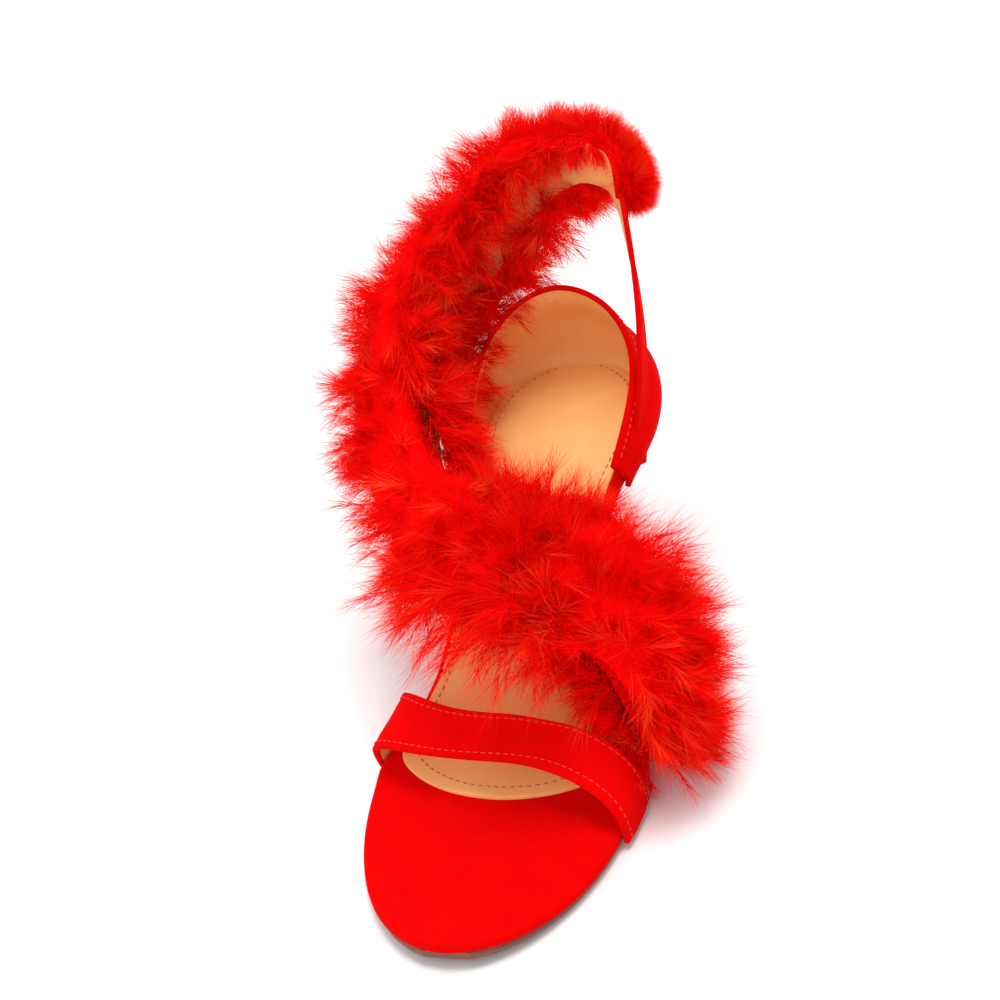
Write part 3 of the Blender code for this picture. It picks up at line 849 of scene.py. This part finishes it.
def lining_row(turn):
    """Lining of the counter at a turn: from beside the sock over the insole's edge and up the inside."""
    side, _, along, top = counter_ring(turn)
    foot = board_top(max(along, 0.0)) + LINING_PROUD
    flat = [over_sole(*out_of_edge(along, side, -inset), foot) for inset in LINING_INSETS]
    start = (foot + LINING_FILLET - CLEARANCE) / (top - CLEARANCE)
    return flat + [counter_point(turn, up, -LINING_OVER) for up in np.linspace(start, 0.955, 13)]


def strap_line():
    """Middles and outward sides of the medial strap."""
    points, outwards, _ = band_path(51)
    foot = over_sole(*out_of_edge(MEDIAL_STRAP_ALONG, 1, 2 * CLEARANCE), CLEARANCE)
    head = points[-1] + outwards[-1] * (UPPER_THICKNESS - STRAP_THICKNESS) / 2
    foot_side = over_sole(*out_of_edge(MEDIAL_STRAP_ALONG, 1, UPPER_THICKNESS), CLEARANCE) - foot
    middles, sides = [], []
    for i in range(49):
        share = i / 48
        middle = foot.lerp(head, share)
        middle.x += MEDIAL_STRAP_BOW * sin(pi * share)
        middles.append(middle)
        sides.append(foot_side.normalized().lerp(outwards[-1], share))
    return middles, sides


def make_upper():
    """Suede counter, medial strap and band, with their tan lining and threads."""
    rings = []
    for turn in COUNTER_TURNS:
        ring = [counter_point(turn, up, 0.0) for up in np.linspace(0.0, COUNTER_EDGE_UP, 16)]
        for k in range(1, 7):
            t = pi * k / 7
            up = COUNTER_EDGE_UP + (1 - COUNTER_EDGE_UP) * sin(t)
            ring.append(counter_point(turn, up, UPPER_THICKNESS / 2 * (1 - cos(t))))
        ring += [counter_point(turn, up, UPPER_THICKNESS) for up in np.linspace(COUNTER_EDGE_UP, 0.0, 16)]
        rings.append(ring)
    points, outwards, _ = band_path(161)
    middles, sides = strap_line()
    meshes = [mesh_of_rings("wall", rings),
              mesh_of_rings("band", strip_rings(points, outwards, BAND_WIDTH, UPPER_THICKNESS)),
              mesh_of_rings("strap", strip_rings(middles, sides, MEDIAL_STRAP_WIDTH, STRAP_THICKNESS))]
    made = new_piece("upper_suede", joined("upper_suede", meshes), FINISHES["red_suede"])
    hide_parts("upper")
    wall = [lining_row(turn) for turn in COUNTER_TURNS[3:-3]]
    linings = [mesh_of_rings("lining", wall, closed=False)]
    for line, outs, width in ((points, outwards, BAND_WIDTH), (middles, sides, MEDIAL_STRAP_WIDTH)):
        rows = []
        for i in range(1, len(line) - 1):
            ahead = (line[i + 1] - line[i - 1]).normalized()
            outward = (outs[i] - ahead * outs[i].dot(ahead)).normalized()
            across = ahead.cross(outward)
            rows.append([line[i] - outward * LINING_OVER + across * share * (width / 2 - 0.0008)
                         for share in (-1, -0.5, 0, 0.5, 1)])
        linings.append(mesh_of_rings("lining", rows, closed=False))
    new_piece("upper_lining", joined("upper_lining", linings), FINISHES["tan_leather"])
    line = [counter_point(turn, COUNTER_STITCH_UP, UPPER_THICKNESS + 0.0001) for turn in COUNTER_TURNS[2:-2]]
    threads = thread_row("counter_threads", line, STRAP_STITCH)
    new_piece("counter_threads", threads, FINISHES["thread_red"])


def path_frames(count):
    """Rows along the band: its point, its ahead, outward and across directions, and the trim there."""
    points, outwards, sizes = band_path(count)
    rows = []
    for i in range(count):
        ahead = (points[min(i + 1, count - 1)] - points[max(i - 1, 0)]).normalized()
        outward = (outwards[i] - ahead * outwards[i].dot(ahead)).normalized()
        rows.append((*(points[i] + SHIFT), *ahead, *outward, *ahead.cross(outward), *sizes[i]))
    return np.array(rows)


def over_floor(points):
    """Points with those near the floor eased up, so that none comes below it."""
    height = points[..., 2]
    eased = FLOOR_LIFT * np.exp(np.minimum(height / FLOOR_LIFT - 1, 0))
    points[..., 2] = np.where(height < FLOOR_LIFT, eased, height)
    return points


def unit(rows):
    """Rows of vectors at length 1."""
    return rows / np.maximum(np.linalg.norm(rows, axis=-1, keepdims=True), 1e-9)


def ribbons(name, spines, widths, tones, chance):
    """Mesh of narrow ribbons: spines are rows of points, widths and tones a number for each point."""
    count, steps, _ = spines.shape
    ahead = unit(np.gradient(spines, axis=1))
    side = unit(np.cross(ahead, unit(chance.normal(size=(count, 1, 3)))))
    half = (widths / 2)[:, :, None] * side
    verts = np.empty((count, 2 * steps - 1, 3))
    verts[:, 0:2 * steps - 2:2] = spines[:, :-1] - half[:, :-1]
    verts[:, 1:2 * steps - 2:2] = spines[:, :-1] + half[:, :-1]
    verts[:, -1] = spines[:, -1]
    shade = np.empty((count, 2 * steps - 1))
    shade[:, 0:2 * steps - 2:2] = tones[:, :-1]
    shade[:, 1:2 * steps - 2:2] = tones[:, :-1]
    shade[:, -1] = tones[:, -1]
    faces, sizes = [], []
    for k in range(steps - 2):
        faces += [2 * k, 2 * k + 1, 2 * k + 3, 2 * k + 2]
        sizes.append(4)
    faces += [2 * steps - 4, 2 * steps - 3, 2 * steps - 2]
    sizes.append(3)
    loops = (np.arange(count)[:, None] * (2 * steps - 1) + np.array(faces)[None]).ravel()
    sizes = np.tile(sizes, count)
    mesh = bpy.data.meshes.new(name)
    mesh.vertices.add(count * (2 * steps - 1))
    mesh.vertices.foreach_set("co", verts.ravel())
    mesh.loops.add(len(loops))
    mesh.loops.foreach_set("vertex_index", loops)
    mesh.polygons.add(len(sizes))
    mesh.polygons.foreach_set("loop_start", np.concatenate(([0], np.cumsum(sizes)[:-1])))
    mesh.polygons.foreach_set("loop_total", sizes)
    mesh.update(calc_edges=True)
    tone = mesh.color_attributes.new("tone", "FLOAT_COLOR", "POINT")
    colors = np.repeat(shade.ravel()[:, None], 4, axis=1)
    colors[:, 3] = 1
    tone.data.foreach_set("color", colors.ravel())
    mesh.shade_smooth()
    return mesh


def plume_spines(chance, path, count):
    """Middle curves of the plumes: where each leaves the trim's inside, which way, and how far it reaches."""
    place = chance.random(count)
    row = path[(place * (len(path) - 1)).astype(int)]
    point, ahead, outward, across = row[:, 0:3], row[:, 3:6], row[:, 6:9], row[:, 9:12]
    size, wrap, inward, hang = row[:, 12], row[:, 13], row[:, 14], row[:, 15]
    turn = pi * chance.beta(ROUND_BIAS, ROUND_BIAS, count)
    shut = wrap * (1 + np.cos(turn)) / 2
    lift = FLUFF_LIFT * size - (FLUFF_WRAP_LIFT + FLUFF_LIFT * size) * shut
    out = lift + np.sin(turn) ** FLUFF_ROUND * (FLUFF_REACH * size - lift)
    side = np.cos(turn) * FLUFF_SPREAD * size
    skin = across * side[:, None] + outward * out[:, None]
    base = point + outward * (UPPER_THICKNESS + FLUFF_CLEARANCE) + skin * PLUME_ROOT
    lean = sum(sway.size * np.sin(place * sway.along + turn * sway.around) for sway in SWAYS)
    aim = unit(unit(skin) + ahead * (lean + chance.normal(0, LEAN_SCATTER, count))[:, None]
               + chance.normal(0, AIM_SCATTER, (count, 3)))
    past = PLUME_PAST * np.minimum(size * PAST_GROWTH, 1.0) * chance.uniform(0.1, 1.0, count)
    past = past + hang * np.maximum(-np.cos(turn), 0.0)
    reach = np.maximum(np.linalg.norm(skin, axis=1) * (1 - PLUME_ROOT) + past, LEAST_REACH)
    curls_in = chance.random(count) < INNER_SHARE * inward
    upper = np.where(chance.random(count) < UPPER_SHARE, 1.0, -1.0)
    horn = np.where(upper > 0, chance.random(count) * wrap, 0.0)
    beside = BAND_WIDTH / 2 + INNER_BESIDE + horn * (FLUFF_SPREAD * size - BAND_WIDTH / 2)
    behind = (horn > INNER_WRAPPED)[:, None] * FLUFF_WRAP * INNER_BEHIND
    rim = point + across * (upper * beside)[:, None] - outward * behind
    cross = chance.uniform(0.1, 1.0, count) - INNER_FLATTEN * horn
    cross = np.where(upper > 0, cross, cross * LOWER_FAN - LOWER_FALL)
    slant = ahead * chance.uniform(-INNER_SLANT, INNER_SLANT, (count, 1))
    over = unit(-across * (upper * cross)[:, None] - outward * INNER_DRAW + slant)
    base = np.where(curls_in[:, None], rim, base)
    aim = np.where(curls_in[:, None], over, aim)
    reach = np.where(curls_in, INNER_REACH * size * chance.uniform(0.8, 1.2, count), reach)
    curl = unit(np.cross(aim, unit(chance.normal(size=(count, 3)))))
    curl = unit(curl + np.array((0, 0, -CURL_FALL)))
    edge_share = np.abs(np.cos(turn))
    return base, aim, curl, reach, edge_share


def plume_mesh(name, chance, path):
    """Plumes of down: from each middle curve fine barbs leave on all sides and close in towards its tip."""
    base, aim, curl, reach, edge_share = plume_spines(chance, path, PLUMES)
    along = np.sort(chance.uniform(0.02, 0.96, (PLUMES, BARBS)), axis=1)
    far = (reach[:, None] * along)[:, :, None]
    bend = (reach[:, None] * along ** 2 * PLUME_BEND)[:, :, None]
    root = base[:, None] + aim[:, None] * far + curl[:, None] * bend
    tangent = unit(aim[:, None] + curl[:, None] * (2 * PLUME_BEND * along)[:, :, None])
    spread = unit(np.cross(tangent, chance.normal(size=(PLUMES, BARBS, 3))))
    open_angle = chance.uniform(*BARB_OPEN, (PLUMES, BARBS)) * (1.05 - 0.55 * along)
    start = tangent * np.cos(open_angle)[..., None] + spread * np.sin(open_angle)[..., None]
    length = (BARB_LENGTH + reach[:, None] * BARB_OF_REACH) * chance.uniform(*BARB_SCATTER, (PLUMES, BARBS))
    length = length * (1.12 - 0.42 * along)
    wave = unit(np.cross(start, chance.normal(size=(PLUMES, BARBS, 3))))
    steps = np.linspace(0, 1, BARB_POINTS)
    spines = (root[:, :, None] + start[:, :, None] * (length[..., None] * steps)[..., None]
              + tangent[:, :, None] * (length[..., None] * steps ** 2 * BARB_BEND)[..., None]
              + wave[:, :, None] * (length[..., None] * steps ** 2 * BARB_BEND)[..., None])
    widths = BARB_WIDTH * np.broadcast_to(1.0 - TAPER * steps, spines.shape[:3])
    # Tones: random per plume and barb, and rising along plume and barb and at the trim's edges as painted
    # light, brighter and warmer where the down is thin
    plume_tone = chance.normal(0, TONE.plume_scatter, (PLUMES, 1, 1))
    plume_tone = plume_tone + TONE.edge * edge_share[:, None, None] ** 2
    tones = np.clip(TONE.root + TONE.plume * along[:, :, None] + TONE.barb * steps + plume_tone
                    + chance.normal(0, TONE.barb_scatter, (PLUMES, BARBS, 1)), 0, 1)
    flat = PLUMES * BARBS
    return ribbons(name, over_floor(spines).reshape(flat, BARB_POINTS, 3), widths.reshape(flat, BARB_POINTS),
                   tones.reshape(flat, BARB_POINTS), chance)


def wisp_mesh(name, chance, path):
    """Single long hairs that stand out past the down and darken towards their tips."""
    base, aim, curl, reach, _ = plume_spines(chance, path, WISPS)
    steps = np.linspace(0, 1, WISP_POINTS)
    reach = reach * chance.uniform(*WISP_REACH, WISPS)
    swing = unit(np.cross(aim, chance.normal(size=(WISPS, 3))))
    spines = (base[:, None] + aim[:, None] * (reach[:, None] * steps)[..., None]
              + curl[:, None] * (reach[:, None] * steps ** 2 * WISP_BEND)[..., None]
              + swing[:, None] * (reach[:, None] * np.sin(steps * WISP_TURN) * WISP_SWING)[..., None])
    widths = WISP_WIDTH * np.broadcast_to(1.0 - TAPER * steps, (WISPS, WISP_POINTS))
    tones = np.clip(0.60 - 0.65 * steps + chance.normal(0, 0.15, (WISPS, 1)), 0, 1)
    return ribbons(name, over_floor(spines), widths, tones, chance)


def fluff_profile(size, wrap):
    """Section of the trim, across and outward from the band, as in the part's source."""
    base = BAND_WIDTH / 2
    spread = FLUFF_SPREAD * size
    open_lift = FLUFF_LIFT * size
    beside = base + FLUFF_BESIDE
    behind = -(UPPER_THICKNESS + FLUFF_BEHIND)
    upper_horn, lower_horn = [], []
    for row in HORN:
        open_x, open_y = base + (spread - base) * row.open_share, open_lift * row.open_share
        shut_x = base if row.open_share == 0 else beside + (spread - beside) * row.shut_share
        shut_y = behind * row.behind - FLUFF_WRAP * row.deep
        upper_horn.append((open_x + (shut_x - open_x) * wrap, open_y + (shut_y - open_y) * wrap))
        lower_horn.append((-open_x, open_y))
    arc = []
    for k in range(CORE_AROUND):
        turn = pi * k / (CORE_AROUND - 1)
        shut = wrap * (1 + cos(turn)) / 2
        lift = open_lift - (FLUFF_WRAP_LIFT + open_lift) * shut
        arc.append((cos(turn) * spread, lift + sin(turn) ** FLUFF_ROUND * (FLUFF_REACH * size - lift)))
    return upper_horn + arc + lower_horn[::-1]


def make_core(path):
    """The trim's dense down: its own section, a little smaller and lumpy, under the plumes."""
    chance = np.random.default_rng(11)
    rows = path[::2]
    count = CORE_AROUND + 2 * len(HORN)
    lumps = chance.uniform(-1, 1, (len(rows), count))
    lumps = (lumps + np.roll(lumps, 1, 0) + np.roll(lumps, 1, 1) + np.roll(lumps, (1, 1), (0, 1))) / 4
    rings = []
    for i, row in enumerate(rows):
        point, outward, across = row[0:3], row[6:9], row[9:12]
        foot = point + outward * (UPPER_THICKNESS + FLUFF_CLEARANCE)
        ring = []
        for k, (x, y) in enumerate(fluff_profile(row[12], row[13])):
            in_arc = len(HORN) <= k < len(HORN) + CORE_AROUND
            grow = CORE_SIZE * (1 + CORE_LUMPS * lumps[i, k]) if in_arc else 1.0
            grow = grow if in_arc or k in (0, count - 1) else 0.5 + CORE_SIZE / 2
            ring.append(Vector(foot + across * x * grow + outward * y * grow) - SHIFT)
        rings.append(ring)
    mesh = mesh_of_rings("down_core", rings)
    tone = mesh.color_attributes.new("tone", "FLOAT_COLOR", "POINT")
    tone.data.foreach_set("color", np.tile((CORE_TONE, CORE_TONE, CORE_TONE, 1.0), len(mesh.vertices)))
    core = new_piece("down_core", mesh, FINISHES["red_feather"])
    return core, np.array([[tuple(spot + SHIFT) for spot in ring] for ring in rings])


def fuzz_mesh(name, chance, grid):
    """Short down all over the core: barbs that leave its surface and lie over along it."""
    rows, count, _ = grid.shape
    i = chance.integers(0, rows - 1, FUZZ)
    above = chance.random(FUZZ) < FUZZ_ABOVE
    k = np.where(above, chance.integers(0, FUZZ_ABOVE_COLUMNS, FUZZ), chance.integers(0, count, FUZZ))
    u, v = chance.random((FUZZ, 1)), chance.random((FUZZ, 1))
    beside = (k + 1) % count
    a, b, c, d = grid[i, k], grid[i + 1, k], grid[i, beside], grid[i + 1, beside]
    foot = (a * (1 - u) + b * u) * (1 - v) + (c * (1 - u) + d * u) * v
    square = unit(np.cross(b - a, c - a))
    middle = grid.mean(axis=1)[i]
    square = square * np.where(((foot - middle) * square).sum(axis=1, keepdims=True) > 0, 1.0, -1.0)
    lie = unit(np.cross(square, chance.normal(size=(FUZZ, 3))))
    aim = unit(square * chance.uniform(*FUZZ_STAND, (FUZZ, 1)) + lie)
    length = FUZZ_LENGTH * chance.uniform(*FUZZ_SCATTER, (FUZZ, 1, 1))
    steps = np.linspace(0, 1, BARB_POINTS)[None, :, None]
    swing = unit(np.cross(aim, chance.normal(size=(FUZZ, 3))))
    spines = (foot - square * FUZZ_SINK)[:, None] + aim[:, None] * length * steps
    spines = spines + (swing - square * FUZZ_FALL)[:, None] * length * steps ** 2 * FUZZ_BEND
    widths = BARB_WIDTH * np.broadcast_to(1.0 - TAPER * steps[..., 0], (FUZZ, BARB_POINTS))
    # Tones brighter towards each barb's tip: painted light, as on the plumes
    tones = np.clip(0.22 + 0.25 * steps[..., 0] + chance.normal(0, 0.14, (FUZZ, 1)), 0, 1)
    return ribbons(name, over_floor(spines), widths, tones, chance)


def make_marabou():
    """The feather trim: core, plumes and wisps, in place of its solid."""
    path = path_frames(241)
    core, grid = make_core(path)
    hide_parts("marabou")
    fuzz = fuzz_mesh("fuzz", np.random.default_rng(23), grid)
    new_piece("fuzz", fuzz, FINISHES["red_feather"])
    for i in range(FEATHER_PIECES):
        chance = np.random.default_rng(100 + i)
        name = f"plumes_{i + 1}"
        new_piece(name, plume_mesh(name, chance, path), FINISHES["red_feather"])
    chance = np.random.default_rng(7)
    new_piece("wisps", wisp_mesh("wisps", chance, path), FINISHES["red_feather"])


def thread(name, color):
    """Twisted sewing thread with a faint sheen."""
    made, tree, shader = node_tree(name)
    twist = noise(tree, 3000, 2, 0.5)
    base = ramp(tree, twist, (0.3, color), (0.7, tuple(0.75 * c for c in color)))
    tree.links.new(base, shader.inputs["Base Color"])
    shader.inputs["Roughness"].default_value = 0.55
    return made


SHIFT = frame_shift()
FINISHES = {"red_suede": suede(), "tan_leather": tan_leather(), "brown_leather": brown_leather(),
            "dark_rubber": dark_rubber(), "red_feather": feather(),
            "thread_red": thread("thread_red", THREAD_RED), "thread_tan": thread("thread_tan", THREAD_TAN)}
for row in frame["record"]["subparts"]:
    node = NODES[row["node"]]
    node.data.materials.clear()
    node.data.materials.append(FINISHES[row["material_slot"]])
make_insole()
make_sock()
make_toe_strap()
make_upper()
make_marabou()
place_camera()
studio()
